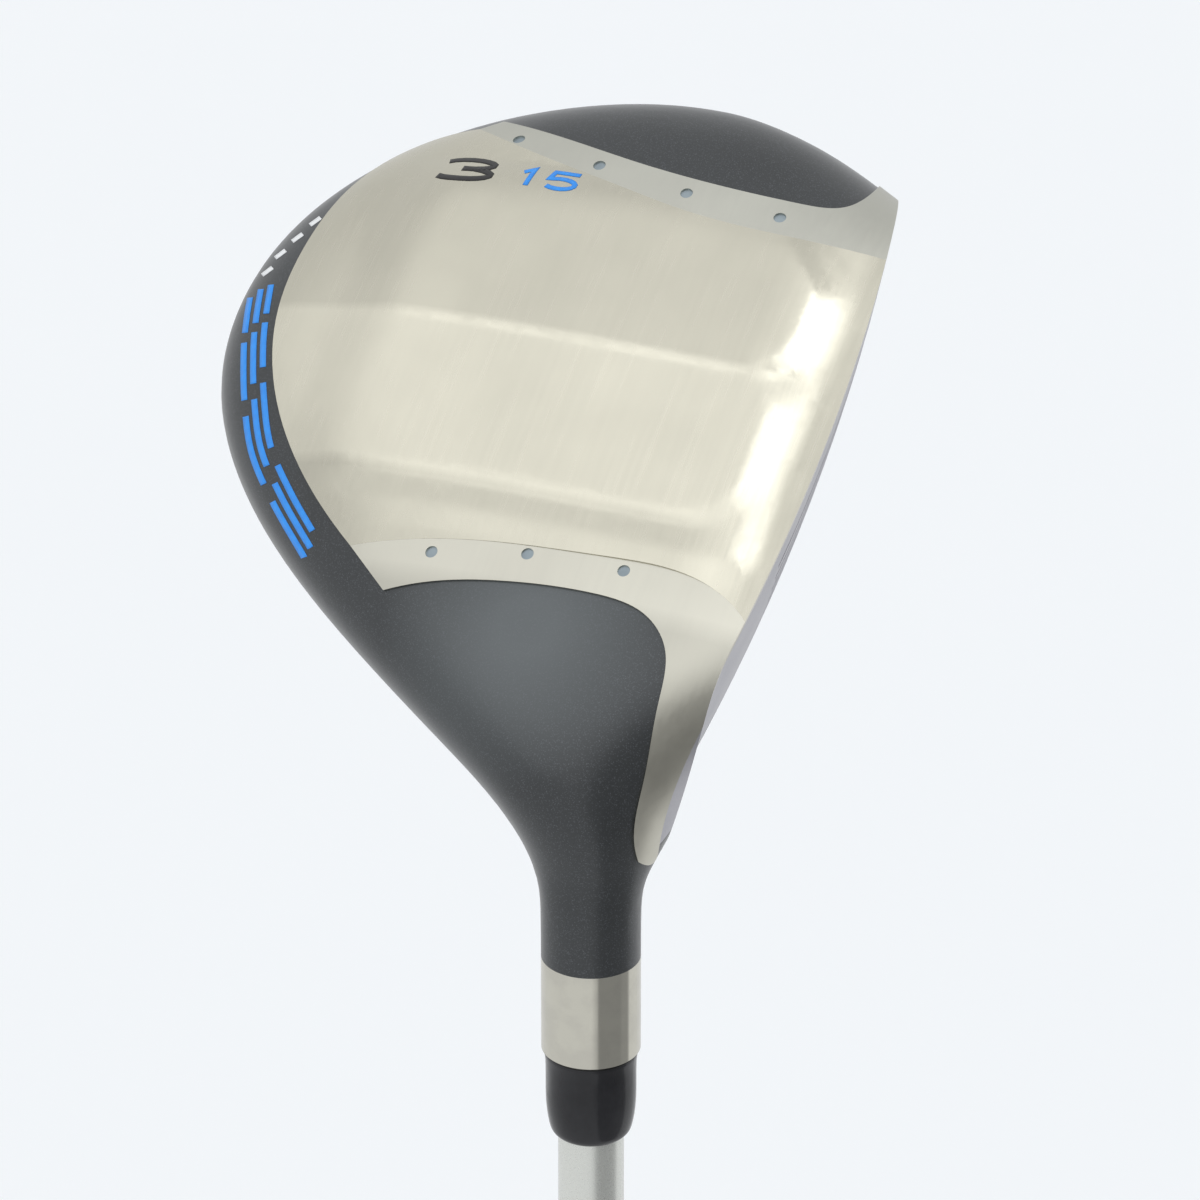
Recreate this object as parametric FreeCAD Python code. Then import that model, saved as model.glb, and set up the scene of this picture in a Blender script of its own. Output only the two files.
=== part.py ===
import FreeCAD, Part

import math
import os

Vec = FreeCAD.Vector

# ---------------------------------------------------------------------------
# Frames
#
# The head is drawn as it lies at address: x runs from heel to toe, y towards
# the target, z up, and the origin is where the shaft's axis meets the ground.
# The finished club stands upright with the butt of the grip on z = 0 and the
# head on top, so place() turns every piece into that frame at the end.
# "k" is a distance along the shaft's axis, from the ground point to the grip.
# ---------------------------------------------------------------------------

# Whole club
CLUB_LENGTH = 1092.0            # butt of the grip to the ground point, 43 in
LIE = math.radians(57.0)        # shaft to ground, seen from the front
SIN_LIE = math.sin(LIE)
COS_LIE = math.cos(LIE)
TO_GRIP = Vec(-COS_LIE, 0, SIN_LIE)

# Face
FACE_LOFT = math.radians(21.0)  # lean of the struck face behind the leading edge
FACE_RADIUS = 262.0             # bulge and roll
FACE_MIDDLE_X = 43.0
FACE_MIDDLE_Z = 17.0
LEADING_EDGE_Y = 17.7
FACE_THICK = 2.4
BLEND_RADIUS = 30.0             # hollow between the face and the neck
BLEND_X = 8.0
BLEND_TILT = 20.0               # the hollow's edge leans towards the toe, in degrees

# Walls of the hollow head
WALL_SOLE = 1.6
WALL_CROWN = 0.6
WALL_SIDE = 0.8
NECK_END_X = -5.0               # heel end of the cavity

# Sole plates
PLATE_PROUD = 0.3
PLATE_DEPTH = 0.9
SIGHT = Vec(-0.43, 0.35, -0.83)  # sole outlines are drawn on z = 0 along this direction
PIN_RADIUS = 0.83
PIN_RECESS = 0.25

# Hosel, ferrule and shaft
HOSEL_RADIUS = 6.4
PAINT_END_K = 37.7              # the painted neck stops, the bare collar starts
COLLAR_END_K = 51.3
FERRULE_END_K = 63.6
TUBE_RADIUS = 5.5
TUBE_START_K = 13.0
SHAFT_TIP_K = 17.5
TIP_RADIUS = 4.25
BOND_GAP = 0.12
TIP_PARALLEL_K = 140.0
BUTT_RADIUS = 7.6
BUTT_PARALLEL = 330.0
SHAFT_WALL_TIP = 1.45
SHAFT_WALL_BUTT = 1.0
SHAFT_BUTT_Z = 3.6

# Grip
GRIP_LENGTH = 267.0
GRIP_CAP_RADIUS = 13.4
GRIP_MOUTH_RADIUS = 9.7
TAPE_THICK = 0.25
VENT_RADIUS = 1.4

RING = 36                       # points round one cross-section of the head
FULL = 3 / (2 + math.cos(2 * math.pi / RING))   # a spline's circle fills its radius
BIG = 400.0


def place(shape):
    """Turn a piece from the head's frame into the standing club's frame."""
    turn = FreeCAD.Matrix(0, 1, 0, 0,
                          SIN_LIE, 0, COS_LIE, 0,
                          COS_LIE, 0, -SIN_LIE, CLUB_LENGTH,
                          0, 0, 0, 1)
    placed = shape.copy()
    placed.Placement = FreeCAD.Placement(turn).multiply(placed.Placement)
    return placed


def save(name, shape):
    if not shape.isValid() or shape.Volume <= 0:
        raise RuntimeError("bad solid: " + name)
    place(shape).exportStep("parts/%s.step" % name)
    print("%-16s %2d solid(s) %10.1f mm3" % (name, len(shape.Solids), shape.Volume))


def save_standing(name, shape):
    """Save a piece that is already drawn in the standing club's frame."""
    if not shape.isValid() or shape.Volume <= 0:
        raise RuntimeError("bad solid: " + name)
    shape.exportStep("parts/%s.step" % name)
    print("%-16s %2d solid(s) %10.1f mm3" % (name, len(shape.Solids), shape.Volume))


def turned(profile):
    """A solid turned about the shaft's axis from (radius, standing z) points."""
    points = [Vec(r, 0, z) for r, z in profile]
    wire = Part.makePolygon(points + points[:1])
    return Part.Face(wire).revolve(Vec(0, 0, 0), Vec(0, 0, 1), 360)


def sewn_solid(faces):
    shell = Part.Shell(faces)
    shell.sewShape()
    shell.fix(1e-4, 1e-5, 1e-2)
    solid = Part.Solid(shell)
    if solid.Volume < 0:
        solid.reverse()
    return solid


# ---------------------------------------------------------------------------
# The head's skin: closed cross-sections from the hosel to the toe
# ---------------------------------------------------------------------------

def power(value, n):
    return math.copysign(abs(value) ** (2.0 / n), value)


def cross_section(low, high, rear, middle, front, waist, squareness, inset=(0, 0, 0)):
    """One closed section in the plane that holds the y axis and the line low-high.

    rear, middle and front are y values, waist is the height of the widest point
    as a share of low-high, and squareness holds a superellipse exponent for each
    quarter: rear low, rear high, front low, front high.
    """
    span = math.hypot(high[0] - low[0], high[1] - low[1])
    step = ((high[0] - low[0]) / span, (high[1] - low[1]) / span)
    inset_low, inset_high, inset_side = inset
    widest = waist * span
    points = []
    for i in range(RING):
        angle = 2 * math.pi * i / RING
        c, s = math.cos(angle), math.sin(angle)
        quarter = (2 if c >= 0 else 0) + (1 if s >= 0 else 0)
        n = squareness[quarter]
        half = (front - middle) if c >= 0 else (middle - rear)
        rise = (span - widest - inset_high) if s >= 0 else (widest - inset_low)
        y = middle + (half - inset_side) * power(c, n) * FULL
        h = widest + rise * power(s, n) * FULL
        points.append(Vec(low[0] + step[0] * h, y, low[1] + step[1] * h))
    return points


ROUND = (2, 2, 2, 2)

# Hosel: distance along the shaft's axis and radius
HOSEL_SECTIONS = ((50, HOSEL_RADIUS), (44, HOSEL_RADIUS), (38, HOSEL_RADIUS),
                  (33, HOSEL_RADIUS), (28.5, HOSEL_RADIUS + 0.05))

# Neck and heel: lowest (x, z), highest (x, z), rear y, middle y, front y, waist, squareness
HEEL_SECTIONS = (
    ((-18.6, 17.2), (-7.6, 26.8), -7.7, 0.0, 6.9, 0.50, ROUND),
    ((-16.6, 12.2), (-3.4, 28.4), -10.4, -0.2, 7.9, 0.50, ROUND),
    ((-13.6, 7.2), (1.2, 30.0), -15.6, -1.0, 8.9, 0.48, (2.05, 2, 2.1, 2)),
    ((-9.0, 3.6), (6.0, 31.6), -23.8, -3.0, 10.8, 0.46, (2.1, 2, 2.3, 2.1)),
    ((-1.5, 1.5), (12.0, 33.2), -35.0, -6.5, 14.2, 0.45, (2.2, 2, 2.8, 2.2)),
    ((8.5, 0.8), (19.5, 34.6), -48.2, -10.0, 24.0, 0.45, (2.3, 2, 3.1, 2.2)),
    ((20.0, 0.45), (28.0, 35.9), -60.2, -13.0, 38.0, 0.45, (2.4, 2, 3.2, 2.2)),
    ((33.0, 0.1), (37.0, 37.0), -69.2, -15.0, 48.0, 0.45, (2.4, 2, 3.2, 2.2)),
    ((45.0, 0.05), (46.0, 37.5), -73.3, -16.5, 51.0, 0.45, (2.4, 2, 3.2, 2.2)),
)

# Toe: a half of a superellipsoid, from its widest section to its tip
TOE_START_X = 54.0
TOE_LENGTH = 41.0
TOE_MIDDLE_Y = -18.0
TOE_REAR_Y = -73.9
TOE_FRONT = 68.0
TOE_TIP_Z = 17.5
TOE_LOW_Z = 0.3
TOE_HIGH_Z = 37.4
TOE_ANGLES = (4, 18, 31, 43, 54, 64, 73, 81)
CORNER_DIP = 0.12               # the toe draws in before it meets the face
CORNER_AT = 0.74
CORNER_SPREAD = 0.14


def falloff(u, n):
    return max(0.0, 1 - u ** n) ** (1.0 / n)


def toe_section(angle, inset):
    u = math.sin(math.radians(angle))
    x = TOE_START_X + (TOE_LENGTH - inset[2]) * u
    low = TOE_TIP_Z - (TOE_TIP_Z - TOE_LOW_Z) * falloff(u, 2.6)
    high = TOE_TIP_Z + (TOE_HIGH_Z - TOE_TIP_Z) * falloff(u, 2.2)
    rear = TOE_MIDDLE_Y + (TOE_REAR_Y - TOE_MIDDLE_Y) * falloff(u, 1.9)
    drawn_in = 1 - CORNER_DIP * math.exp(-((u - CORNER_AT) / CORNER_SPREAD) ** 2)
    front = TOE_MIDDLE_Y + TOE_FRONT * falloff(u, 1.5) * drawn_in
    shrink = math.cos(math.radians(angle))
    squareness = (2.4 - 0.3 * u, 2.0, 3.2 - 1.0 * u, 2.2)
    reduced = tuple(value * shrink for value in inset)
    waist = (TOE_TIP_Z - low) / (high - low)
    return cross_section((x, low), (x, high), rear, TOE_MIDDLE_Y, front, waist, squareness, reduced)


def skin_surface(inset=(0, 0, 0), with_neck=True):
    """The head's closed outer skin, or one set in by (sole, crown, side) millimetres."""
    rows = []
    if with_neck:
        for k, r in HOSEL_SECTIONS:
            centre = (-COS_LIE * k, SIN_LIE * k)
            across = (SIN_LIE * r, COS_LIE * r)
            rows.append(cross_section((centre[0] - across[0], centre[1] - across[1]),
                                      (centre[0] + across[0], centre[1] + across[1]),
                                      -r, 0, r, 0.5, ROUND))
    heel = HEEL_SECTIONS if with_neck else HEEL_SECTIONS[2:]
    rows += [cross_section(*row, inset=inset) for row in heel]
    rows += [toe_section(angle, inset) for angle in TOE_ANGLES]
    tip_x = TOE_START_X + TOE_LENGTH - inset[2]
    rows.append(cross_section((tip_x, TOE_TIP_Z - 4.2), (tip_x, TOE_TIP_Z + 3.2),
                              TOE_MIDDLE_Y - 7, TOE_MIDDLE_Y, TOE_MIDDLE_Y + 3, 0.57, ROUND))
    rows.append([Vec(tip_x, TOE_MIDDLE_Y, TOE_TIP_Z)] * RING)
    surface = Part.BSplineSurface()
    inner_knots = len(rows) - 4
    surface.buildFromPolesMultsKnots(rows, [4] + [1] * inner_knots + [4], [1] * (RING + 1),
                                     list(range(inner_knots + 2)), list(range(RING + 1)),
                                     False, True, 3, 3)
    return surface


def closed_skin(surface):
    """A solid inside the skin, closed by a flat lid over its open heel end."""
    face = surface.toShape()
    rim = max((e for e in face.Edges if e.isClosed()), key=lambda e: e.Length)
    return sewn_solid([face, Part.Face(Part.Wire([rim]))])


# ---------------------------------------------------------------------------
# Face: a ball gives bulge and roll, and a ring-shaped hollow blends the heel end
# ---------------------------------------------------------------------------

FACE_NORMAL = Vec(0, math.cos(FACE_LOFT), math.sin(FACE_LOFT))
FACE_MIDDLE = Vec(FACE_MIDDLE_X,
                  LEADING_EDGE_Y - (FACE_MIDDLE_Z - 1) * math.tan(FACE_LOFT), FACE_MIDDLE_Z)
BALL_CENTRE = FACE_MIDDLE - FACE_NORMAL * FACE_RADIUS


def on_face(x, z, depth=0.0):
    """The point of the face, or of a surface set in behind it, at a given x and z."""
    radius = FACE_RADIUS - depth
    reach = radius ** 2 - (x - BALL_CENTRE.x) ** 2 - (z - BALL_CENTRE.z) ** 2
    return Vec(x, BALL_CENTRE.y + math.sqrt(reach), z)


def face_ball(depth=0.0):
    return Part.makeSphere(FACE_RADIUS - depth, BALL_CENTRE)


def toe_side_axis():
    """Square to the plane, near the shaft's direction, where the face meets its blend."""
    touch = on_face(BLEND_X, FACE_MIDDLE_Z - 1)
    outward = (touch - BALL_CENTRE) * (1 / FACE_RADIUS)
    lean = FreeCAD.Rotation(Vec(0, 1, 0), BLEND_TILT).multVec(TO_GRIP)
    along = lean - outward * lean.dot(outward)
    axis = outward.cross(along)
    axis.normalize()
    return axis if axis.x > 0 else axis * -1


def face_cutters():
    """The solids in front of the face and in front of its blend into the neck."""
    axis = toe_side_axis()
    zone = Part.makeBox(160, 60, 90, Vec(-25, -12, -20))
    toe_side = Part.makeBox(300, 700, 700)
    half_turn = FreeCAD.Rotation(Vec(1, 0, 0), axis)
    corner = BALL_CENTRE + half_turn.multVec(Vec(0, -350, -350))
    toe_side.Placement = FreeCAD.Placement(corner, half_turn)
    front = zone.common(toe_side).cut(face_ball())
    ring = Part.makeTorus(FACE_RADIUS + BLEND_RADIUS, BLEND_RADIUS, BALL_CENTRE, axis)
    return front, ring.common(zone)


def neck_trim(k):
    """Everything on the grip side of a plane square to the shaft."""
    block = Part.makeBox(80, 80, 80, Vec(-40, -40, k))
    block.Placement = FreeCAD.Placement(Vec(0, 0, 0), FreeCAD.Rotation(Vec(0, 0, 1), TO_GRIP))
    return block


# ---------------------------------------------------------------------------
# Outlines: smooth curves through a few points, made into tall prisms
# ---------------------------------------------------------------------------

def curve(points):
    spline = Part.BSplineCurve()
    spline.interpolate(points)
    return spline.toShape()


def prism(runs, direction):
    """A tall prism whose outline is made of runs of points.

    Each run is smooth, runs of two points are straight, and each run ends where
    the next one starts. The points are drawn on the plane z = 0, and the prism
    runs both ways along the direction.
    """
    edges = []
    for run in runs:
        points = [Vec(x, y, 0) for x, y in run]
        edges.append(Part.makeLine(*points) if len(points) == 2 else curve(points))
    face = Part.Face(Part.Wire(edges))
    reach = direction * BIG
    face.translate(reach * -0.5)
    return face.extrude(reach)


# Sole outlines, drawn on z = 0 along SIGHT
HEEL_CORNER = (8.5, -32.0)
HEEL_LINE_REAR = (13.9, -38.7)
TOE_LINE_REAR = (78.4, -44.4)
TOE_CORNER = (80.2, -41.6)
HEEL_LINE = (HEEL_LINE_REAR, (16.8, -29.9), (18.6, -19.3), (19.5, -5.8), (19.1, 6.7),
             (17.0, 12.2), (12.5, 17.5))
TOE_LINE = ((69.4, 18.0), (70.2, 8.1), (70.4, 0.0), (71.5, -13.4), (73.3, -22.5),
            (75.2, -31.7), TOE_LINE_REAR)
REAR_LINE = (HEEL_LINE_REAR, (24.6, -50.5), (34.1, -57.2), (45.9, -61.3), (57.1, -61.2),
             (67.5, -57.9), (74.2, -52.0), TOE_LINE_REAR)
CRESCENT_LINE = (TOE_CORNER, (79.2, -33.1), (77.3, -21.1), (76.1, -9.3), (75.6, 2.1),
                 (76.7, 8.7), (80.8, 11.6), (88.0, 12.5))
BLACK_HEEL_LINE = (HEEL_CORNER, (11.2, -26.0), (13.2, -17.0), (14.0, -5.0), (12.6, 2.6),
                   (8.2, 7.2), (0.2, 9.1), (-10.6, 11.1), (-19.3, 12.9), (-22.3, 14.6))
TONGUE_TIP = (BLACK_HEEL_LINE[-1], (-22.4, 16.4), (-20.4, 16.7))
TONGUE_FRONT = (TONGUE_TIP[-1], (-12.8, 15.6), (-2.0, 15.9), (6.0, 17.0), (12.5, 19.0))
FRONT_Y = 34.0
OUTSIDE_X = 90.0

CENTRE_RUNS = (
    HEEL_LINE,
    (HEEL_LINE[-1], (HEEL_LINE[-1][0], FRONT_Y)),
    ((HEEL_LINE[-1][0], FRONT_Y), (TOE_LINE[0][0], FRONT_Y)),
    ((TOE_LINE[0][0], FRONT_Y), TOE_LINE[0]),
    TOE_LINE,
    tuple(reversed(REAR_LINE)),
)
TOE_RUNS = (
    TOE_LINE,
    (TOE_LINE_REAR, TOE_CORNER),
    CRESCENT_LINE,
    (CRESCENT_LINE[-1], (OUTSIDE_X, FRONT_Y)),
    ((OUTSIDE_X, FRONT_Y), (TOE_LINE[0][0], FRONT_Y)),
    ((TOE_LINE[0][0], FRONT_Y), TOE_LINE[0]),
)
HEEL_RUNS = (
    HEEL_LINE,
    (HEEL_LINE[-1], TONGUE_FRONT[-1]),
    tuple(reversed(TONGUE_FRONT)),
    tuple(reversed(TONGUE_TIP)),
    tuple(reversed(BLACK_HEEL_LINE)),
    (HEEL_CORNER, HEEL_LINE_REAR),
)

# Terraces of the centre plate, in x and y: a tongue and a pocket on one long shelf
TONGUE = {"x0": 27.3, "x1": 49.4, "front": 7.9, "corner": 7.0, "height": 1.15,
          "heel_slope": 1.3, "toe_slope": 1.3, "front_slope": 5.0}
POCKET = {"x0": 49.4, "x1": 66.5, "front": 8.6, "corner": 6.5, "height": 1.5,
          "heel_slope": 1.1, "toe_slope": 9.0, "front_slope": 3.0}
SHELF = {"x0": 10.0, "x1": 67.5, "front": 9.4, "corner": 7.5, "height": 0.65,
         "heel_slope": 1.1, "toe_slope": 8.0, "front_slope": 5.0}
SIDE_CURVE = 2.0                # how long a terrace's brow stays level before it drops
FRONT_CURVE = 1.4
HEEL_FADE = (18.0, 23.0)        # the shelf and the fingers sink into the plate's edges
REAR_FADE = (-44.0, -56.0)

PINS = ((79.8, -40.2), (76.8, -27.1), (74.7, -13.9), (73.7, -0.5),
        (15.8, -28.1), (17.8, -15.3), (18.1, -2.1))


def smooth(t):
    t = min(1.0, max(0.0, t))
    return t * t * (3 - 2 * t)


def terrace(x, y, shape):
    """Height of one raised finger: a rounded end, a soft brow and a crisp foot."""
    outside = max(shape["x0"] - x, x - shape["x1"]) + shape["corner"]
    ahead = y - shape["front"] + shape["corner"]
    gap = min(max(outside, ahead), 0.0) + math.hypot(max(outside, 0.0), max(ahead, 0.0))
    gap -= shape["corner"]
    side = shape["heel_slope"] if 2 * x < shape["x0"] + shape["x1"] else shape["toe_slope"]
    turn = smooth((ahead + 1.0) / shape["corner"])
    slope = side + (shape["front_slope"] - side) * turn
    t = min(1.0, max(0.0, gap / slope))
    return shape["height"] * (1 - t ** (SIDE_CURVE + (FRONT_CURVE - SIDE_CURVE) * turn))


def relief(x, y):
    """How far the centre plate stands out from its own base surface."""
    stand = max(terrace(x, y, finger) for finger in (SHELF, TONGUE, POCKET))
    heel = smooth((x - HEEL_FADE[0]) / (HEEL_FADE[1] - HEEL_FADE[0]))
    rear = 1 - smooth((REAR_FADE[0] - y) / (REAR_FADE[0] - REAR_FADE[1]))
    return stand * heel * rear


def flat(x, y):
    return 0.0


def offset_face(surface, u_range, v_range, counts, out, bumps):
    """The skin's patch moved outwards by out plus bumps(x, y), as one smooth face."""
    poles = []
    for i in range(counts[0]):
        u = u_range[0] + (u_range[1] - u_range[0]) * i / (counts[0] - 1)
        row = []
        for j in range(counts[1]):
            v = v_range[0] + (v_range[1] - v_range[0]) * j / (counts[1] - 1)
            point = surface.value(u, v)
            normal = surface.normal(u, v) * OUTWARD
            row.append(point + normal * (out + bumps(point.x, point.y)))
        poles.append(row)
    patch = Part.BSplineSurface()
    knots = [list(range(n - 2)) for n in counts]
    mults = [[4] + [1] * (n - 4) + [4] for n in counts]
    patch.buildFromPolesMultsKnots(poles, mults[0], mults[1], knots[0], knots[1],
                                   False, False, 3, 3)
    return patch


def side_wall(outer_poles, inner_poles):
    """A ruled strip between two matching rows of poles."""
    count = len(outer_poles)
    wall = Part.BSplineSurface()
    wall.buildFromPolesMultsKnots([outer_poles, inner_poles], [2, 2],
                                  [4] + [1] * (count - 4) + [4], [0, 1],
                                  list(range(count - 2)), False, False, 1, 3)
    return wall.toShape()


def block(surface, u_range, v_range, counts, outer, inner):
    """A thick patch of the skin; outer and inner are (offset, bumps)."""
    outside = offset_face(surface, u_range, v_range, counts, *outer)
    inside = offset_face(surface, u_range, v_range, counts, *inner)
    faces = [outside.toShape(), inside.toShape()]
    a, b = outside.getPoles(), inside.getPoles()
    for rim, floor in ((a[0], b[0]), (a[-1], b[-1]),
                       ([row[0] for row in a], [row[0] for row in b]),
                       ([row[-1] for row in a], [row[-1] for row in b])):
        faces.append(side_wall(rim, floor))
    return sewn_solid(faces)


# ---------------------------------------------------------------------------
# Pieces of the head
# ---------------------------------------------------------------------------

OUTWARD = -1                    # the skin's own normals point inwards
LOWER_HALF = (17.0, 35.0)       # rear waist, under the sole, to the front waist
HEEL_REACH = (3.2, 11.0)
HEEL_ROUND = (17.0, 38.5)
CENTRE_REACH = (8.8, 17.6)
TOE_REACH = (13.0, 20.6)
CENTRE_GRID = (92, 140)
PLAIN_GRID = (44, 60)


def plate(skin, runs, reach, around, grid, bumps, cutters):
    """A sole plate and the pocket that the body needs for it."""
    tall = prism(runs, SIGHT)
    inner = (-PLATE_DEPTH, flat)
    pressed = (-PLATE_DEPTH, bumps)
    solid = block(skin, reach, around, grid, (PLATE_PROUD, bumps), pressed).common(tall)
    for cutter in cutters:
        solid = solid.cut(cutter)
    pocket = block(skin, reach, around, PLAIN_GRID, (2.5, flat), inner).common(tall)
    return largest(solid), pocket


def largest(shape):
    return max(shape.Solids, key=lambda solid: solid.Volume)


def closed_prism(points, direction):
    """A prism round a smooth closed outline."""
    spline = Part.BSplineCurve()
    spline.interpolate(points, PeriodicFlag=True)
    face = Part.Face(Part.Wire([spline.toShape()]))
    return face.extrude(direction)


CROWN_OUTLINE = ((-1, -9), (3, -25), (13, -44), (28, -59), (45, -67), (62, -66.5), (76, -57),
                 (85, -40), (87, -22), (80, -8), (62, -1.8), (42, 0.0), (22, -1.0), (6, -3.5))
CROWN_LOW_Z = 20.0
FACE_OUTLINE = ((-11, 17.4), (-8.5, 12.0), (-3.8, 6.2), (3, 0.5), (14, -3), (43, -4), (66, -2.5),
                (78, 4), (84, 11), (85.5, 18), (82.5, 24.5), (74, 29), (60, 31.2), (43, 32),
                (28, 31), (14, 28.2), (2, 24.2), (-6.5, 20.6))
SCORE_LINES = 7
SCORE_PITCH = 3.3
SCORE_START_Z = 7.6
SCORE_WIDTH = 0.8
SCORE_DEPTH = 0.35
SCORE_X = (27.0, 61.0)
WINDOW_SHRINK = 0.84


def shrunk(shape, factor):
    """The same outline drawn smaller about the middle of the sole."""
    middle = Vec(45, -20, 0)
    matrix = FreeCAD.Matrix()
    matrix.move(middle * -1)
    matrix.scale(Vec(factor, factor, 1))
    matrix.move(middle)
    return shape.transformGeometry(matrix)


def pin_axis(skin, x, y):
    """The plate's outer point over (x, y) and the direction square to it."""
    point = Vec(x, y, 0)
    for _ in range(8):
        u, v = skin.parameter(point)
        found = skin.value(u, v)
        point = Vec(x, y, found.z)
    outward = skin.normal(u, v) * OUTWARD
    return found + outward * PLATE_PROUD, outward


# Soft pad stuck to the inside of the toe wall.
DAMPER_CENTRE = Vec(83, -22, 4)
DAMPER_RADIUS = 9.0


def build_head():
    skin = skin_surface()
    cutters = face_cutters()
    outer = closed_skin(skin).cut(neck_trim(PAINT_END_K))
    for cutter in cutters:
        outer = outer.cut(cutter)

    centre, centre_pocket = plate(skin, CENTRE_RUNS, CENTRE_REACH, LOWER_HALF, CENTRE_GRID,
                                  relief, cutters)
    toe, toe_pocket = plate(skin, TOE_RUNS, TOE_REACH, LOWER_HALF, PLAIN_GRID, flat,
                            cutters)
    heel, heel_pocket = plate(skin, HEEL_RUNS, HEEL_REACH, HEEL_ROUND, PLAIN_GRID, flat,
                              cutters)

    holes = []
    pins = []
    for x, y in PINS:
        top, outward = pin_axis(skin, x, y)
        holes.append(Part.makeCylinder(PIN_RADIUS, 3, top + outward, outward * -1))
        pin = Part.makeCylinder(PIN_RADIUS, PLATE_PROUD + PLATE_DEPTH - PIN_RECESS,
                                top - outward * PIN_RECESS, outward * -1)
        pins.append(pin)
    toe = largest(toe.cut(Part.makeCompound(holes[:4])))
    heel = largest(heel.cut(Part.makeCompound(holes[4:])))

    inner_skin = closed_skin(skin_surface((WALL_SOLE, WALL_CROWN, WALL_SIDE), with_neck=False))
    heel_side = Part.makeBox(60, 120, 80, Vec(NECK_END_X - 60, -80, -10))
    cavity = inner_skin.common(face_ball(FACE_THICK)).cut(heel_side)

    shell = outer.cut(cavity)
    crown_zone = closed_prism([Vec(x, y, CROWN_LOW_Z) for x, y in CROWN_OUTLINE], Vec(0, 0, 30))
    crown = largest(shell.common(crown_zone))
    face_zone = closed_prism([Vec(x, -14, z) for x, z in FACE_OUTLINE], Vec(0, 40, 0))
    face_layer = face_zone.cut(face_ball(FACE_THICK))
    insert = outer.common(face_layer)
    for pocket in (centre_pocket, toe_pocket, heel_pocket):
        insert = insert.cut(pocket)
    skin_of_face = face_ball().cut(face_ball(SCORE_DEPTH))
    for i in range(SCORE_LINES):
        slot = Part.makeBox(SCORE_X[1] - SCORE_X[0], 40, SCORE_WIDTH,
                            Vec(SCORE_X[0], -10, SCORE_START_Z + i * SCORE_PITCH))
        insert = insert.cut(slot.common(skin_of_face))

    damper = cavity.common(Part.makeSphere(DAMPER_RADIUS, DAMPER_CENTRE))
    tube_hole = Part.makeCylinder(TUBE_RADIUS, 60, TO_GRIP * TUBE_START_K, TO_GRIP)
    insert = insert.cut(tube_hole)
    window = shrunk(prism(CENTRE_RUNS, SIGHT), WINDOW_SHRINK)
    window = window.common(Part.makeBox(160, 80, 12, Vec(-20, -70, -3)))
    body = shell.cut(crown_zone).cut(face_layer)
    for pocket in (centre_pocket, toe_pocket, heel_pocket):
        body = body.cut(pocket)
    body = largest(body.cut(window).cut(tube_hole))

    save("body_shell", body)
    save("crown", crown)
    save("face_insert", largest(insert))
    save("sole_plate", centre)
    save("toe_band", toe)
    save("heel_band", heel)
    save("band_pins", Part.makeCompound(pins))
    save("sound_damper", largest(damper))


# ---------------------------------------------------------------------------
# Hosel, ferrule, shaft and grip: turned parts, drawn upright with z = 0 at the butt
# ---------------------------------------------------------------------------

def height(k):
    """Standing height of a point k along the axis from the ground point."""
    return CLUB_LENGTH - k


BORE_RADIUS = TIP_RADIUS + BOND_GAP
TUBE_FLOOR_K = TUBE_START_K + 1.2
PLUG_LENGTH = 2.6
TIP_WEIGHT_LENGTH = 26.0
CORK_LENGTH = 7.0


def shaft_radius(z):
    """Outside radius of the shaft: parallel tip and butt with a taper between."""
    taper_low, taper_high = BUTT_PARALLEL, height(TIP_PARALLEL_K)
    t = min(1.0, max(0.0, (z - taper_low) / (taper_high - taper_low)))
    return BUTT_RADIUS + (TIP_RADIUS - BUTT_RADIUS) * t


def shaft_wall(z):
    t = z / height(SHAFT_TIP_K)
    return SHAFT_WALL_BUTT + (SHAFT_WALL_TIP - SHAFT_WALL_BUTT) * t


def build_hosel():
    collar_low, collar_high = height(COLLAR_END_K), height(PAINT_END_K)
    tube_high = height(TUBE_START_K)
    edge = 0.25
    tube = turned([(BORE_RADIUS, collar_low), (HOSEL_RADIUS - edge, collar_low),
                   (HOSEL_RADIUS, collar_low + edge), (HOSEL_RADIUS, collar_high),
                   (TUBE_RADIUS, collar_high), (TUBE_RADIUS, tube_high), (2.0, tube_high),
                   (2.0, height(TUBE_FLOOR_K)), (BORE_RADIUS, height(TUBE_FLOOR_K))])
    plug_low = height(SHAFT_TIP_K) + 0.4
    plug = turned([(0, plug_low), (BORE_RADIUS - 0.05, plug_low),
                   (BORE_RADIUS - 0.05, plug_low + PLUG_LENGTH), (0, plug_low + PLUG_LENGTH)])
    bond_low, bond_high = collar_low + 0.5, height(SHAFT_TIP_K)
    bond = turned([(TIP_RADIUS, bond_low), (BORE_RADIUS, bond_low), (BORE_RADIUS, bond_high),
                   (TIP_RADIUS, bond_high)])
    save_standing("hosel_tube", tube)
    save_standing("bore_plug", plug)
    save_standing("hosel_bond", bond)


FERRULE_WIDE = 6.02
FERRULE_NARROW = 5.42
FERRULE_CHAMFER = 0.25
FERRULE_BAND = 0.6              # straight part beside the collar
FERRULE_NOSE = 1.5              # rounded end that meets the shaft
FERRULE_LIP = 0.25


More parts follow.
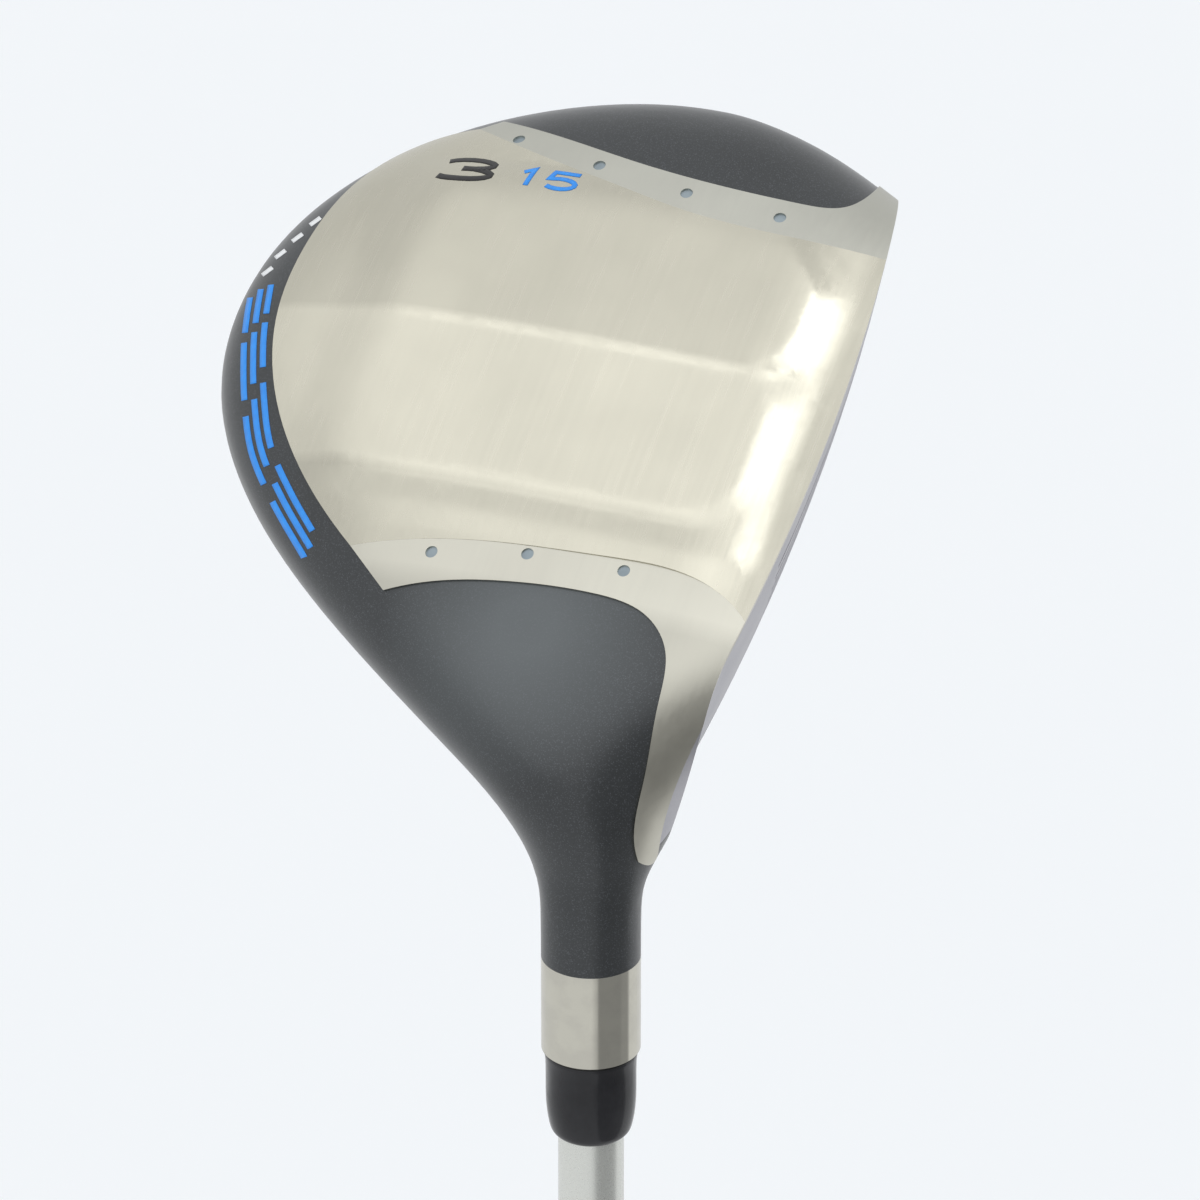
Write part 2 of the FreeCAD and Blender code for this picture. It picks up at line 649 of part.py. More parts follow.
def build_ferrule():
    high, low = height(COLLAR_END_K), height(FERRULE_END_K)
    bore = TIP_RADIUS + 0.03
    lip = Vec(TIP_RADIUS + FERRULE_LIP, 0, low)
    corners = [Vec(bore, 0, high), Vec(FERRULE_WIDE - FERRULE_CHAMFER, 0, high),
               Vec(FERRULE_WIDE, 0, high - FERRULE_CHAMFER), Vec(FERRULE_WIDE, 0, high - FERRULE_BAND)]
    side = curve([corners[-1], Vec(FERRULE_WIDE - 0.18, 0, high - 4),
                  Vec(FERRULE_NARROW, 0, low + FERRULE_NOSE),
                  Vec(FERRULE_NARROW - 0.45, 0, low + 0.35), lip])
    inner_low = Vec(bore, 0, low)
    edges = [Part.makeLine(a, b) for a, b in zip(corners, corners[1:])]
    edges += [side, Part.makeLine(lip, inner_low), Part.makeLine(inner_low, corners[0])]
    section = Part.Face(Part.Wire(edges))
    save_standing("ferrule", section.revolve(Vec(0, 0, 0), Vec(0, 0, 1), 360))


def build_shaft():
    tip = height(SHAFT_TIP_K)
    stations = (SHAFT_BUTT_Z, BUTT_PARALLEL, height(TIP_PARALLEL_K), tip)
    outside = [(shaft_radius(z), z) for z in stations]
    inside = [(shaft_radius(z) - shaft_wall(z), z) for z in reversed(stations)]
    save_standing("shaft", turned(outside + inside))

    def tip_bore(z):
        return shaft_radius(z) - shaft_wall(z) - 0.02

    def slug(name, low, length):
        high = low + length
        save_standing(name, turned([(0, low), (tip_bore(low), low), (tip_bore(high), high),
                                    (0, high)]))

    weight_low = tip - TIP_WEIGHT_LENGTH
    slug("tip_weight", weight_low, TIP_WEIGHT_LENGTH - 0.5)
    slug("shaft_cork", weight_low - CORK_LENGTH - 0.3, CORK_LENGTH)


GRIP_PROFILE = ((13.0, 6.0), (12.6, 14.0), (12.0, 40.0), (11.6, 100.0), (10.9, 180.0),
                (10.1, GRIP_LENGTH - 4))
CAP_HEIGHT = 3.2
MOUTH_LIP = 0.6
RING_DEPTH = 0.4                # moulded ring grooves: start, pitch and count of each group
RING_HALF_WIDTH = 0.7
RING_GROUPS = ((44.0, 4.0, 12), (112.0, 4.0, 14), (GRIP_LENGTH - 16, 3.5, 3))


def grip_radius(z):
    """Outside radius of the sleeve between its grooves."""
    for (r0, z0), (r1, z1) in zip(GRIP_PROFILE, GRIP_PROFILE[1:]):
        if z <= z1:
            return r0 + (r1 - r0) * (z - z0) / (z1 - z0)
    return GRIP_PROFILE[-1][0]


def grip_outline():
    """The sleeve's outside from the butt to the mouth, with its ring grooves."""
    points = list(GRIP_PROFILE)
    for start, pitch, count in RING_GROUPS:
        for i in range(count):
            z = start + i * pitch
            points.append((grip_radius(z) - RING_DEPTH, z))
            for rim in (z - RING_HALF_WIDTH, z + RING_HALF_WIDTH):
                points.append((grip_radius(rim), rim))
    return sorted(points, key=lambda point: point[1])


def build_grip():
    tape_low, tape_high = CAP_HEIGHT + 0.4, GRIP_LENGTH - 3
    core = BUTT_RADIUS + TAPE_THICK
    tape = turned([(BUTT_RADIUS, tape_low), (core, tape_low), (core, tape_high),
                   (BUTT_RADIUS, tape_high)])
    save_standing("grip_tape", tape)

    sleeve = turned(grip_outline() + [
        (GRIP_MOUTH_RADIUS, GRIP_LENGTH - 0.5), (GRIP_MOUTH_RADIUS - MOUTH_LIP, GRIP_LENGTH),
        (core, GRIP_LENGTH), (core, CAP_HEIGHT), (GRIP_CAP_RADIUS - 0.1, CAP_HEIGHT)])
    save_standing("grip_sleeve", sleeve)

    cap = turned([(VENT_RADIUS, 0), (GRIP_CAP_RADIUS - 1.2, 0), (GRIP_CAP_RADIUS, 1.2),
                  (GRIP_CAP_RADIUS - 0.1, CAP_HEIGHT), (VENT_RADIUS, CAP_HEIGHT)])
    save_standing("grip_cap", cap)


os.makedirs("parts", exist_ok=True)
build_head()
build_hosel()
build_ferrule()
build_shaft()
build_grip()
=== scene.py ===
import bpy
import math
from mathutils import Matrix, Vector
from mathutils.bvhtree import BVHTree


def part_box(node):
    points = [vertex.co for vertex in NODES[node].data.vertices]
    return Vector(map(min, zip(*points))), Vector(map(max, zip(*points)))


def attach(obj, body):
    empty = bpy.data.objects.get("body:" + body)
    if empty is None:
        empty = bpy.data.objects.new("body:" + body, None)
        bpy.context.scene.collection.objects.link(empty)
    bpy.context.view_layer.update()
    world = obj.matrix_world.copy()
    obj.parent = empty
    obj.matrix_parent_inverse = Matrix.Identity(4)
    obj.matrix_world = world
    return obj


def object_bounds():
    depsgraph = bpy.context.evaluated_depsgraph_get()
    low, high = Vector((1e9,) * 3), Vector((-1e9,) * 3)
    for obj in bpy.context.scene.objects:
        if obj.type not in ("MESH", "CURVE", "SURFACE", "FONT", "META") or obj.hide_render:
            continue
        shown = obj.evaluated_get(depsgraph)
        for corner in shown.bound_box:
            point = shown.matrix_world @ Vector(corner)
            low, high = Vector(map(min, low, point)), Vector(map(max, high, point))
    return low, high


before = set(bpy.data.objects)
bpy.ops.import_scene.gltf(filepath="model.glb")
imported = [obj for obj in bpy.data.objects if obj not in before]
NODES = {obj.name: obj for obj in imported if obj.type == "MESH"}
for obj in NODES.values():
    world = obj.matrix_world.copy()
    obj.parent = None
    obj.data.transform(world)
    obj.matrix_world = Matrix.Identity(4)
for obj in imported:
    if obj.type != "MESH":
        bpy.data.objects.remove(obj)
cad_low, cad_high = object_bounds()
MM = 0.001

# ---------------------------------------------------------------------------
# The head's own directions, and where its axis meets the ground line
# ---------------------------------------------------------------------------
LIE = math.radians(57)
SIN_LIE, COS_LIE = math.sin(LIE), math.cos(LIE)
TOE_DIR = Vector((0, SIN_LIE, COS_LIE))
FACE_DIR = Vector((1, 0, 0))
UP_DIR = Vector((0, COS_LIE, -SIN_LIE))
COLLAR_TO_GROUND = 51.3         # mm along the shaft's axis
COLLAR_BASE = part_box("hosel_tube")[0].z
GROUND_POINT = Vector((0, 0, COLLAR_BASE + COLLAR_TO_GROUND * MM))


def head(x, y, z):
    """A point of the head, in mm, in the row frame."""
    return GROUND_POINT + (TOE_DIR * x + FACE_DIR * y + UP_DIR * z) * MM


# ---------------------------------------------------------------------------
# Node helpers
# ---------------------------------------------------------------------------

class Tree:
    """A material's node tree with short calls for its nodes."""

    def __init__(self, name):
        self.material = bpy.data.materials.new(name)
        self.material.use_nodes = True
        self.tree = self.material.node_tree
        self.tree.nodes.clear()
        self.output = self.node("ShaderNodeOutputMaterial")
        self.coords = self.node("ShaderNodeTexCoord").outputs["Object"]

    def node(self, kind, **settings):
        made = self.tree.nodes.new(kind)
        for key, value in settings.items():
            setattr(made, key, value)
        return made

    def link(self, source, socket):
        if isinstance(source, bpy.types.NodeSocket):
            self.tree.links.new(source, socket)
        else:
            socket.default_value = source

    def calc(self, operation, *values):
        made = self.node("ShaderNodeMath", operation=operation)
        for i, value in enumerate(values):
            self.link(value, made.inputs[i])
        return made.outputs[0]

    def head_axes(self, scale):
        """Coordinates along the head's toe, face and up directions, each with its own scale."""
        made = self.node("ShaderNodeCombineXYZ")
        for i, (axis, s) in enumerate(zip((TOE_DIR, FACE_DIR, UP_DIR), scale)):
            dot = self.node("ShaderNodeVectorMath", operation="DOT_PRODUCT")
            self.tree.links.new(self.coords, dot.inputs[0])
            dot.inputs[1].default_value = axis * s
            self.tree.links.new(dot.outputs["Value"], made.inputs[i])
        return made.outputs[0]

    def along(self, axis):
        """Distance in mm from the head's ground point along a direction."""
        dot = self.node("ShaderNodeVectorMath", operation="DOT_PRODUCT")
        self.tree.links.new(self.coords, dot.inputs[0])
        dot.inputs[1].default_value = axis / MM
        return self.calc("SUBTRACT", dot.outputs["Value"], GROUND_POINT.dot(axis) / MM)

    def near(self, point, inner, outer):
        """1 within inner mm of a point, fading to 0 at outer mm."""
        gap = self.node("ShaderNodeVectorMath", operation="DISTANCE")
        self.tree.links.new(self.coords, gap.inputs[0])
        gap.inputs[1].default_value = point
        return self.spread(gap.outputs["Value"], inner * MM, outer * MM, 1, 0)

    def stretched(self, scale):
        made = self.node("ShaderNodeMapping")
        self.tree.links.new(self.coords, made.inputs["Vector"])
        made.inputs["Scale"].default_value = scale
        return made.outputs[0]

    def noise(self, vector, scale, detail=2.0, roughness=0.5):
        made = self.node("ShaderNodeTexNoise")
        self.tree.links.new(vector, made.inputs["Vector"])
        made.inputs["Scale"].default_value = scale
        made.inputs["Detail"].default_value = detail
        made.inputs["Roughness"].default_value = roughness
        return made.outputs["Fac"]

    def cells(self, vector, scale):
        made = self.node("ShaderNodeTexVoronoi")
        self.tree.links.new(vector, made.inputs["Vector"])
        made.inputs["Scale"].default_value = scale
        return made

    def spread(self, value, low, high, out_low, out_high):
        made = self.node("ShaderNodeMapRange")
        self.tree.links.new(value, made.inputs["Value"])
        for key, number in (("From Min", low), ("From Max", high), ("To Min", out_low),
                            ("To Max", out_high)):
            made.inputs[key].default_value = number
        return made.outputs["Result"]

    def mix(self, factor, a, b):
        made = self.node("ShaderNodeMix", data_type="RGBA")
        self.link(factor, made.inputs["Factor"])
        self.link(a, made.inputs[6])
        self.link(b, made.inputs[7])
        return made.outputs[2]

    def bump(self, height, distance, strength):
        made = self.node("ShaderNodeBump")
        self.tree.links.new(height, made.inputs["Height"])
        made.inputs["Distance"].default_value = distance
        made.inputs["Strength"].default_value = strength
        return made.outputs["Normal"]

    def finish(self, **sockets):
        shader = self.node("ShaderNodeBsdfPrincipled")
        for key, value in sockets.items():
            self.link(value, shader.inputs[key.replace("_", " ")])
        self.tree.links.new(shader.outputs[0], self.output.inputs["Surface"])
        return self.material


def rgb(r, g, b):
    return (r, g, b, 1.0)


# ---------------------------------------------------------------------------
# Materials
# ---------------------------------------------------------------------------

# The three tones below, fixed to places on the head, are painted shade and a painted sheen.
# They stand in for shading and reflections that the lights alone don't give, so they stay where they
# are in every view.
PAINTED_SHADE_STEP = 0.18               # share of black mixed in at a shade of 1
# painted sheen of the black paint: place in head mm, reach in mm, colour and share
PAINTED_SHEEN_PLACE = (8, -12, 2)
PAINTED_SHEEN_REACH = (4, 21)
PAINTED_SHEEN_COLOUR = (0.155, 0.172, 0.178)
PAINTED_SHEEN_SHARE = 0.65


def plate_painted_shade(t):
    """Painted shade on the plate: darker in the pocket, beside the heel band and along the leading
    edge.
    """
    x, y = t.along(TOE_DIR), t.along(FACE_DIR)
    pocket = t.spread(x, 48.8, 50.2, 0, 0.85)
    heel_side = t.spread(x, 27.8, 26.0, 0, 1.1)
    behind_front = t.spread(y, 3, 9, 1, 0)
    ledge = t.spread(y, 12.2, 14.8, 0, 1.1)
    sides = t.calc("MULTIPLY", t.calc("MAXIMUM", pocket, heel_side), behind_front)
    return t.calc("MAXIMUM", sides, ledge)


def tongue_painted_shade(t):
    """Painted shade: darker where the heel band turns into its tongue."""
    x = t.along(TOE_DIR)
    return t.calc("MULTIPLY", t.spread(x, 14, 7, 0, 2.4), t.spread(x, -9, -1, 0, 1))


GRAIN = (40, 1500, 1500)        # brush lines run from heel to toe
GRAIN_DEPTH = 0.000004


def brushed_metal(name, light, dark, roughness, shade=None):
    t = Tree(name)
    hair = t.noise(t.head_axes(GRAIN), 1.0, 3.0, 0.6)
    cloud = t.noise(t.coords, 60, 3.0)
    tone = t.calc("ADD", t.calc("MULTIPLY", cloud, 0.8), t.calc("MULTIPLY", hair, 0.25))
    colour = t.mix(t.spread(tone, 0.35, 0.75, 0.0, 1.0), rgb(*dark), rgb(*light))
    # painted shade: black mixed into the colour where the shade function gives a value
    if shade:
        colour = t.mix(shade(t), colour, t.mix(PAINTED_SHADE_STEP, colour, rgb(0, 0, 0)))
    rough = t.spread(hair, 0.3, 0.7, roughness - 0.04, roughness + 0.06)
    return t.finish(Base_Color=colour, Metallic=1.0, Roughness=rough,
                    Normal=t.bump(hair, GRAIN_DEPTH, 0.6))


PAINT = (0.034, 0.037, 0.039)
PAINT_ROUGHNESS = 0.33
FLECK = (0.16, 0.17, 0.19)


def black_paint(name):
    t = Tree(name)
    fleck = t.cells(t.coords, 9000)
    spark = t.node("ShaderNodeSeparateColor")
    t.tree.links.new(fleck.outputs["Color"], spark.inputs[0])
    bright = t.spread(spark.outputs[0], 0.80, 1.0, 0.0, 1.0)
    cloud = t.noise(t.coords, 45, 3.0)
    shade = t.mix(t.spread(cloud, 0.3, 0.7, 0, 1), rgb(*PAINT), rgb(*[c * 1.25 for c in PAINT]))
    # painted sheen: the paint lighter within reach of one place near the heel
    painted_sheen = t.near(head(*PAINTED_SHEEN_PLACE), *PAINTED_SHEEN_REACH)
    shade = t.mix(t.calc("MULTIPLY", painted_sheen, PAINTED_SHEEN_SHARE), shade, rgb(*PAINTED_SHEEN_COLOUR))
    colour = t.mix(t.calc("MULTIPLY", bright, 0.35), shade, rgb(*FLECK))
    peel = t.noise(t.coords, 900, 2.0)
    rough = t.spread(cloud, 0.3, 0.7, PAINT_ROUGHNESS - 0.03, PAINT_ROUGHNESS + 0.04)
    return t.finish(Base_Color=colour, Metallic=0.35, Roughness=rough, Coat_Weight=0.35,
                    Coat_Roughness=0.22, Normal=t.bump(peel, 0.000006, 0.5))


def turned_metal(name, light, dark, roughness):
    t = Tree(name)
    rings = t.noise(t.stretched((60, 60, 9000)), 1.0, 3.0, 0.6)
    smudge = t.noise(t.coords, 260, 4.0, 0.6)
    colour = t.mix(t.spread(smudge, 0.4, 0.62, 0, 1), rgb(*dark), rgb(*light))
    rough = t.spread(smudge, 0.3, 0.7, roughness + 0.05, roughness - 0.03)
    return t.finish(Base_Color=colour, Metallic=1.0, Roughness=rough,
                    Normal=t.bump(rings, 0.000003, 0.5))


def gloss_black(name):
    t = Tree(name)
    cloud = t.noise(t.coords, 180, 3.0)
    colour = t.mix(t.spread(cloud, 0.3, 0.7, 0, 1), rgb(0.010, 0.010, 0.012), rgb(0.022, 0.022, 0.025))
    rough = t.spread(t.noise(t.coords, 1400, 3.0), 0.3, 0.7, 0.10, 0.17)
    return t.finish(Base_Color=colour, Roughness=rough, Specular_IOR_Level=0.3, Coat_Weight=0.12,
                    Coat_Roughness=0.05, Normal=t.bump(cloud, 0.00001, 0.4))


def silver_paint(name):
    t = Tree(name)
    fleck = t.noise(t.coords, 6000, 2.0)
    cloud = t.noise(t.stretched((30, 30, 6)), 1.0, 3.0)
    tone = t.calc("ADD", t.calc("MULTIPLY", fleck, 0.5), t.calc("MULTIPLY", cloud, 0.5))
    colour = t.mix(t.spread(tone, 0.35, 0.65, 0, 1), rgb(0.72, 0.73, 0.69), rgb(0.84, 0.85, 0.80))
    rough = t.spread(fleck, 0.3, 0.7, 0.26, 0.34)
    return t.finish(Base_Color=colour, Metallic=0.85, Roughness=rough, Coat_Weight=0.4,
                    Coat_Roughness=0.08, Normal=t.bump(fleck, 0.000002, 0.5))


def blasted_steel(name):
    t = Tree(name)
    grit = t.noise(t.coords, 3800, 3.0, 0.7)
    cloud = t.noise(t.coords, 70, 3.0)
    colour = t.mix(t.spread(cloud, 0.3, 0.7, 0, 1), rgb(0.56, 0.56, 0.60), rgb(0.66, 0.65, 0.68))
    rough = t.spread(grit, 0.3, 0.7, 0.42, 0.55)
    return t.finish(Base_Color=colour, Metallic=1.0, Roughness=rough, Normal=t.bump(grit, 0.00002, 0.6))


def grip_rubber(name):
    t = Tree(name)
    grain = t.noise(t.coords, 2600, 4.0, 0.7)
    cloud = t.noise(t.coords, 60, 3.0)
    colour = t.mix(t.spread(cloud, 0.3, 0.7, 0, 1), rgb(0.014, 0.014, 0.015), rgb(0.030, 0.030, 0.031))
    rough = t.spread(grain, 0.3, 0.7, 0.58, 0.78)
    return t.finish(Base_Color=colour, Roughness=rough, Normal=t.bump(grain, 0.00004, 0.6))


def plain(name, light, dark, roughness, metallic=0.0):
    t = Tree(name)
    cloud = t.noise(t.coords, 500, 4.0)
    colour = t.mix(t.spread(cloud, 0.3, 0.7, 0, 1), rgb(*dark), rgb(*light))
    rough = t.spread(cloud, 0.3, 0.7, roughness - 0.05, roughness + 0.05)
    return t.finish(Base_Color=colour, Metallic=metallic, Roughness=rough,
                    Normal=t.bump(cloud, 0.00002, 0.4))


NICKEL_LIGHT, NICKEL_DARK = (0.79, 0.755, 0.63), (0.70, 0.67, 0.56)
materials = {
    "body_shell": black_paint("head_black"),
    "crown": black_paint("crown_black"),
    "face_insert": blasted_steel("face_steel"),
    # the sole plate and the heel band carry painted shade
    "sole_plate": brushed_metal("sole_nickel", NICKEL_LIGHT, NICKEL_DARK, 0.23, plate_painted_shade),
    "toe_band": brushed_metal("toe_band_nickel", (0.59, 0.585, 0.52), (0.52, 0.515, 0.46), 0.36),
    "heel_band": brushed_metal("heel_band_nickel", (0.70, 0.68, 0.59), (0.63, 0.61, 0.53), 0.34,
                               tongue_painted_shade),
    "band_pins": plain("pin_grey", (0.36, 0.42, 0.45), (0.27, 0.32, 0.35), 0.4, 0.7),
    "sound_damper": plain("damper_gum", (0.55, 0.42, 0.20), (0.42, 0.30, 0.12), 0.5),
    "hosel_tube": turned_metal("bare_collar", (0.66, 0.64, 0.56), (0.62, 0.60, 0.53), 0.12),
    "bore_plug": plain("plug_white", (0.80, 0.80, 0.77), (0.72, 0.72, 0.70), 0.6),
    "hosel_bond": plain("epoxy", (0.75, 0.70, 0.55), (0.66, 0.60, 0.45), 0.4),
    "ferrule": gloss_black("ferrule_black"),
    "shaft": silver_paint("shaft_silver"),
    "tip_weight": plain("weight_brass", (0.78, 0.62, 0.33), (0.66, 0.51, 0.26), 0.35, 1.0),
    "shaft_cork": plain("cork", (0.60, 0.43, 0.27), (0.45, 0.31, 0.19), 0.8),
    "grip_tape": plain("tape", (0.82, 0.80, 0.72), (0.74, 0.72, 0.64), 0.8),
    "grip_sleeve": grip_rubber("sleeve_rubber"),
    "grip_cap": grip_rubber("cap_rubber"),
}
for name, material in materials.items():
    node = NODES[name]
    node.data.materials.clear()
    node.data.materials.append(material)

# Soft panels of the sky, some of them dark: direction, full and fading half-angles in
# degrees, and gain
PANELS = (
    ((0.28, -0.10, 0.95), 15, 22, 1.25),
    ((-0.35, -0.10, 0.93), 8, 42, 0.22),
    ((-0.30, -0.68, 0.66), 10, 33, 0.40),
    ((0.87, -0.47, 0.10), 33, 52, -0.42),
    ((0.876, -0.139, -0.462), 31, 38, -0.45),
)
SKY_BASE = 0.80
DARKEST = 0.30

# ---------------------------------------------------------------------------
# Floor and light
# ---------------------------------------------------------------------------
bpy.ops.mesh.primitive_plane_add(size=120, location=(0, 0, cad_low.z))
floor = bpy.context.object
floor.name = "floor"
paper = Tree("floor_paper")
tint = paper.noise(paper.coords, 3.0, 2.0)
paper_colour = paper.mix(paper.spread(tint, 0.3, 0.7, 0, 1), rgb(0.945, 0.96, 0.975),
                         rgb(0.95, 0.965, 0.98))
floor.data.materials.append(paper.finish(Base_Color=paper_colour, Roughness=0.9,
                                         Specular_IOR_Level=0.1))
floor.visible_glossy = False

scene = bpy.context.scene
scene.view_settings.view_transform = "Standard"


class Sky:
    """The tent around the club: a base brightness with softly edged panels."""

    def __init__(self, base):
        self.world = bpy.data.worlds.new("studio")
        self.world.use_nodes = True
        self.tree = self.world.node_tree
        self.direction = self.tree.nodes.new("ShaderNodeTexCoord").outputs["Generated"]
        self.total = base

    def calc(self, operation, *values):
        made = self.tree.nodes.new("ShaderNodeMath")
        made.operation = operation
        for i, value in enumerate(values):
            if isinstance(value, bpy.types.NodeSocket):
                self.tree.links.new(value, made.inputs[i])
            else:
                made.inputs[i].default_value = value
        return made.outputs[0]

    def ramp(self, value, low, high):
        made = self.tree.nodes.new("ShaderNodeMapRange")
        made.interpolation_type = "SMOOTHSTEP"
        self.tree.links.new(value, made.inputs["Value"])
        made.inputs["From Min"].default_value = low
        made.inputs["From Max"].default_value = high
        return made.outputs["Result"]

    def along(self, direction):
        dot = self.tree.nodes.new("ShaderNodeVectorMath")
        dot.operation = "DOT_PRODUCT"
        self.tree.links.new(self.direction, dot.inputs[0])
        dot.inputs[1].default_value = Vector(direction).normalized()
        return dot.outputs["Value"]

    def panel(self, direction, inner, outer, gain):
        """Adds gain inside a cone with full and fading half-angles in degrees."""
        shape = self.ramp(self.along(direction), math.cos(math.radians(outer)),
                          math.cos(math.radians(inner)))
        self.total = self.calc("ADD", self.total, self.calc("MULTIPLY", shape, gain))

    def hang(self):
        background = self.tree.nodes["Background"]
        background.inputs["Color"].default_value = rgb(0.97, 0.985, 1.0)
        strength = self.calc("MAXIMUM", self.total, DARKEST)
        self.tree.links.new(strength, background.inputs["Strength"])
        scene.world = self.world


sky = Sky(SKY_BASE)
for panel in PANELS:
    sky.panel(*panel)
sky.hang()

# ---------------------------------------------------------------------------
# Painted marks: thin films laid on the head's surface
# ---------------------------------------------------------------------------
SIGHT = TOE_DIR * -0.43 + FACE_DIR * 0.35 + UP_DIR * -0.83
FILM = 0.03 * MM                # thickness of a painted mark
STEP = 0.35                     # mm between the points of a mark's mesh
CAST_FROM = 0.08                # metres out from the surface that marks are cast from


def surface_of(*names):
    """One search tree over the named nodes' meshes."""
    points, faces = [], []
    for name in names:
        mesh = NODES[name].data
        start = len(points)
        points += [v.co.copy() for v in mesh.vertices]
        faces += [[start + i for i in p.vertices] for p in mesh.polygons]
    return BVHTree.FromPolygons(points, faces)


def lay(tree, x, y, direction):
    """The point where a line through (x, y) of the ground plane first meets the surface."""
    start = head(x, y, 0) + direction * CAST_FROM
    hit, normal, _, _ = tree.ray_cast(start, -direction)
    if hit is None:
        return None
    return hit + normal * FILM * (1 if normal.dot(direction) > 0 else -1)


def ribbon(points, width):
    """Both sides of a stroke through the points, with mitred corners, in short steps."""
    rows = []
    count = len(points)
    miters = []
    for i in range(count):
        before = (points[i] - points[max(i - 1, 0)])
        after = (points[min(i + 1, count - 1)] - points[i])
        a = before.normalized() if before.length > 0 else after.normalized()
        b = after.normalized() if after.length > 0 else a
        middle = (a + b).normalized()
        across = Vector((-middle.y, middle.x))
        miters.append(across * (width / 2 / max(0.35, across.dot(Vector((-a.y, a.x))))))
    for i in range(count - 1):
        parts = max(1, round((points[i + 1] - points[i]).length / STEP))
        for k in range(parts + (1 if i == count - 2 else 0)):
            t = k / parts
            centre = points[i].lerp(points[i + 1], t)
            across = miters[i].lerp(miters[i + 1], t)
            rows.append((centre - across, centre + across))
    return rows


def film(name, strokes, width, tree, direction, material):
    """Flat strokes, given in head x and y, wrapped onto the surface as one thin piece."""
    mesh = bpy.data.meshes.new(name)
    vertices, faces = [], []
    across = max(2, round(width / STEP))
    for stroke in strokes:
        rows = ribbon([Vector(p) for p in stroke], width)
        start = len(vertices)
        for left, right in rows:
            for k in range(across + 1):
                p = left.lerp(right, k / across)
                laid = lay(tree, p.x, p.y, direction)
                vertices.append(laid if laid is not None else vertices[-1])
        for r in range(len(rows) - 1):
            for k in range(across):
                a = start + r * (across + 1) + k
                faces.append((a, a + 1, a + across + 2, a + across + 1))
    mesh.from_pydata(vertices, [], faces)
    made = bpy.data.objects.new(name, mesh)
    scene.collection.objects.link(made)
    made.data.materials.append(material)
    thick = made.modifiers.new("thickness", "SOLIDIFY")
    thick.thickness = FILM
    thick.offset = 0
    made.data.shade_smooth()
    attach(made, "root")
    return made


def ink(name, light, dark):
    t = Tree(name)
    cloud = t.noise(t.coords, 900, 4.0)
    colour = t.mix(t.spread(cloud, 0.3, 0.7, 0, 1), rgb(*dark), rgb(*light))
    rough = t.spread(cloud, 0.3, 0.7, 0.34, 0.46)
    return t.finish(Base_Color=colour, Roughness=rough, Normal=t.bump(cloud, 0.000008, 0.5))


def arc(cx, cy, rx, ry, start, end, count=12):
    return [(cx + rx * math.cos(math.radians(start + (end - start) * i / count)),
             cy + ry * math.sin(math.radians(start + (end - start) * i / count)))
            for i in range(count + 1)]


def written(glyph, x, y, height, width):
    """A glyph drawn in a unit box, right along the head's y and up along its x."""
    return [[(x + v * height, y + u * width) for u, v in stroke] for stroke in glyph]


GLYPH_3 = [arc(0.5, 0.74, 0.44, 0.24, 150, -90) + arc(0.5, 0.26, 0.48, 0.25, 90, -150)]
GLYPH_1 = [[(0.15, 0.72), (0.5, 0.95), (0.5, 0.0)]]
GLYPH_5 = [[(0.88, 0.95), (0.2, 0.95), (0.14, 0.55)] + arc(0.48, 0.32, 0.42, 0.28, 120, -140)]

sole = surface_of("sole_plate")
shell = surface_of("body_shell")
black_ink = ink("ink_black", (0.020, 0.018, 0.018), (0.010, 0.009, 0.009))
blue_ink = ink("ink_blue", (0.030, 0.33, 0.95), (0.022, 0.27, 0.86))
white_ink = ink("ink_white", (0.92, 0.93, 0.94), (0.84, 0.85, 0.86))
club_number = written(GLYPH_3, 70.9, -49.2, 4.3, 8.6)
loft_number = written(GLYPH_1, 71.0, -37.0, 3.5, 3.6) + written(GLYPH_5, 71.0, -33.2, 3.5, 5.2)
film("numeral_3", club_number, 0.95, sole, -UP_DIR, black_ink)
film("numeral_15", loft_number, 0.72, sole, -UP_DIR, blue_ink)

# Two blue stripes broken into slanted blocks along the rear skirt, and white ticks at their toe end
SKIRT_LINE = ((48.9, -65.0), (44.3, -63.9), (39.4, -62.4), (32.2, -59.5), (25.0, -55.7),
              (18.6, -50.2), (12.2, -43.6))


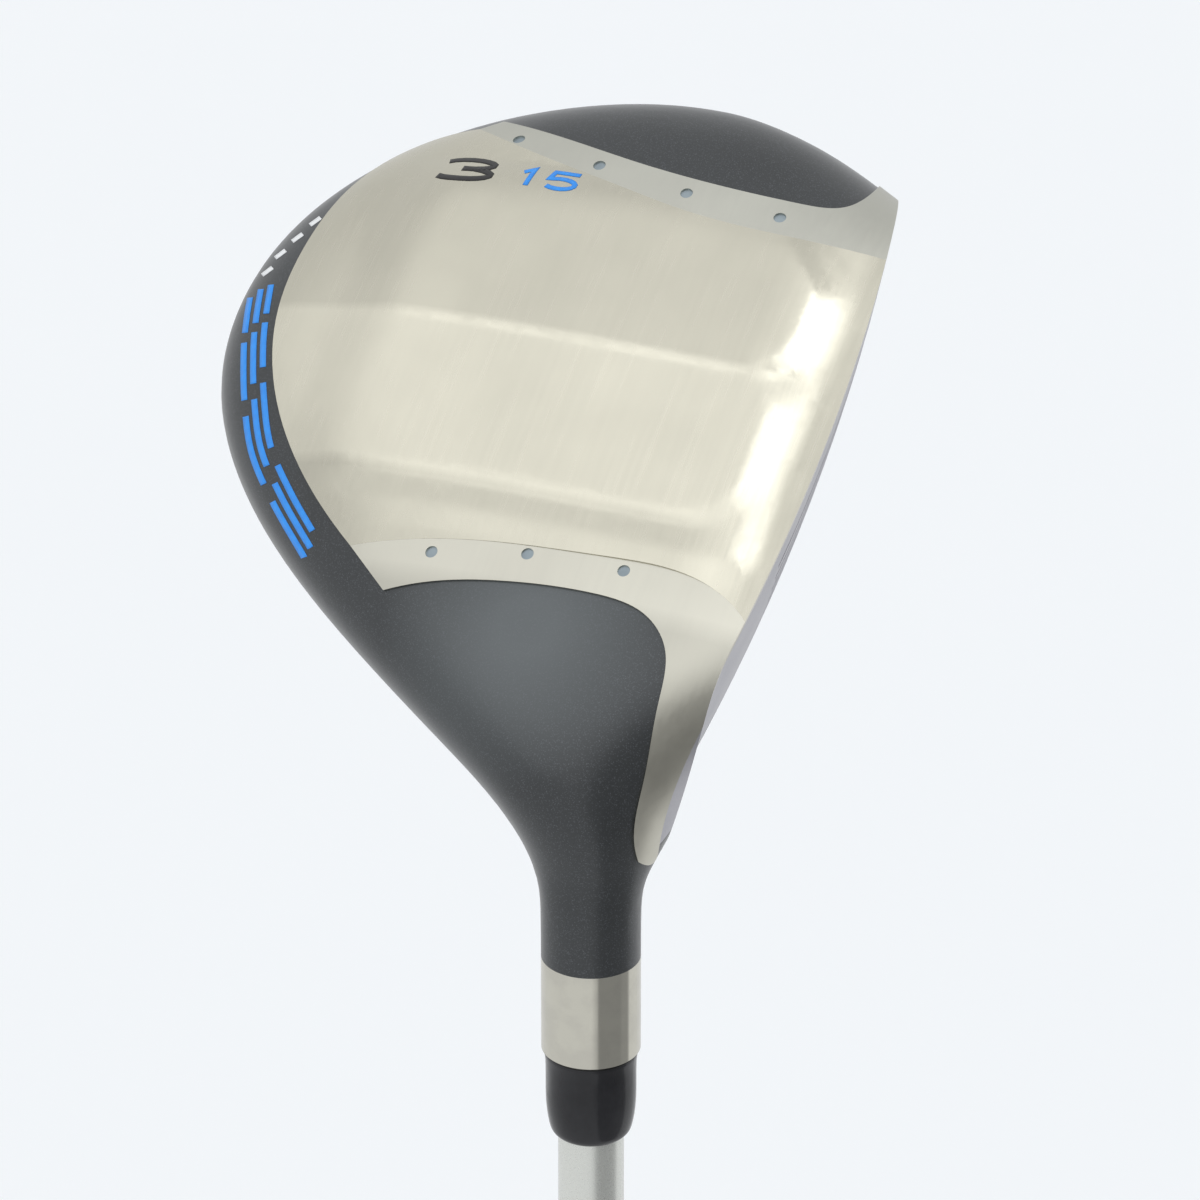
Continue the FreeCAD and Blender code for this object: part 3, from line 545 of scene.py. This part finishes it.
def along_skirt(start, end, out, count=14):
    """Points along the skirt line between two shares of its length, moved outwards by out."""
    line = [Vector(p) for p in SKIRT_LINE]
    made = []
    for i in range(count + 1):
        t = (start + (end - start) * i / count) * (len(line) - 1)
        k = min(int(t), len(line) - 2)
        a = line[max(k - 1, 0)]
        b, c = line[k], line[k + 1]
        d = line[min(k + 2, len(line) - 1)]
        u = t - k
        point = 0.5 * ((2 * b) + (c - a) * u + (2 * a - 5 * b + 4 * c - d) * u ** 2
                       + (3 * b - a - 3 * c + d) * u ** 3)
        tangent = (c - b).normalized().lerp((d - b).normalized(), u / 2)
        normal = Vector((tangent.y, -tangent.x)).normalized()
        made.append(point - normal * out)
    return made


BLOCKS = ((0.02, 0.20), (0.25, 0.45), (0.50, 0.72), (0.78, 0.99))
LANES = (-1.35, 0.0, 1.35)      # mm outwards from the skirt line
SLANT = 0.035
strokes = []
for low, high in BLOCKS:
    for lane in LANES:
        strokes.append(along_skirt(low + SLANT * lane, high + SLANT * lane, lane))
film("skirt_blocks", strokes, 0.85, shell, SIGHT, blue_ink)

TICKS = ((51.4, -65.1), (54.3, -64.3), (57.2, -62.9), (60.1, -61.4))
ticks = [[(x - 0.7, y - 0.5), (x + 0.7, y + 0.5)] for x, y in TICKS]
film("skirt_ticks", ticks, 0.7, shell, SIGHT, white_ink)

# ---------------------------------------------------------------------------
# Camera
# ---------------------------------------------------------------------------
AZIMUTH, ELEVATION = math.radians(23.36), math.radians(27.5)
DISTANCE = 1.2
LENS, SENSOR = 281.25, 36
AIM_ABOVE_COLLAR = 5.35         # mm along the shaft's axis
AIM_SIDE, AIM_UP = 1.152, 52.48  # mm across and up the picture
side = Vector((math.cos(AZIMUTH), math.sin(AZIMUTH), 0))
back = Vector((math.sin(AZIMUTH) * math.cos(ELEVATION), -math.cos(AZIMUTH) * math.cos(ELEVATION),
               math.sin(ELEVATION)))
up = back.cross(side)
camera = bpy.data.objects.new("camera", bpy.data.cameras.new("camera"))
scene.collection.objects.link(camera)
camera.data.lens = LENS
camera.data.sensor_width = SENSOR
aim = Vector((0, 0, COLLAR_BASE + AIM_ABOVE_COLLAR * MM)) + (side * AIM_SIDE + up * AIM_UP) * MM
place = aim + back * DISTANCE
camera.matrix_world = Matrix((
    (side.x, up.x, back.x, place.x), (side.y, up.y, back.y, place.y),
    (side.z, up.z, back.z, place.z), (0, 0, 0, 1)))
scene.camera = camera

bpy.context.view_layer.update()
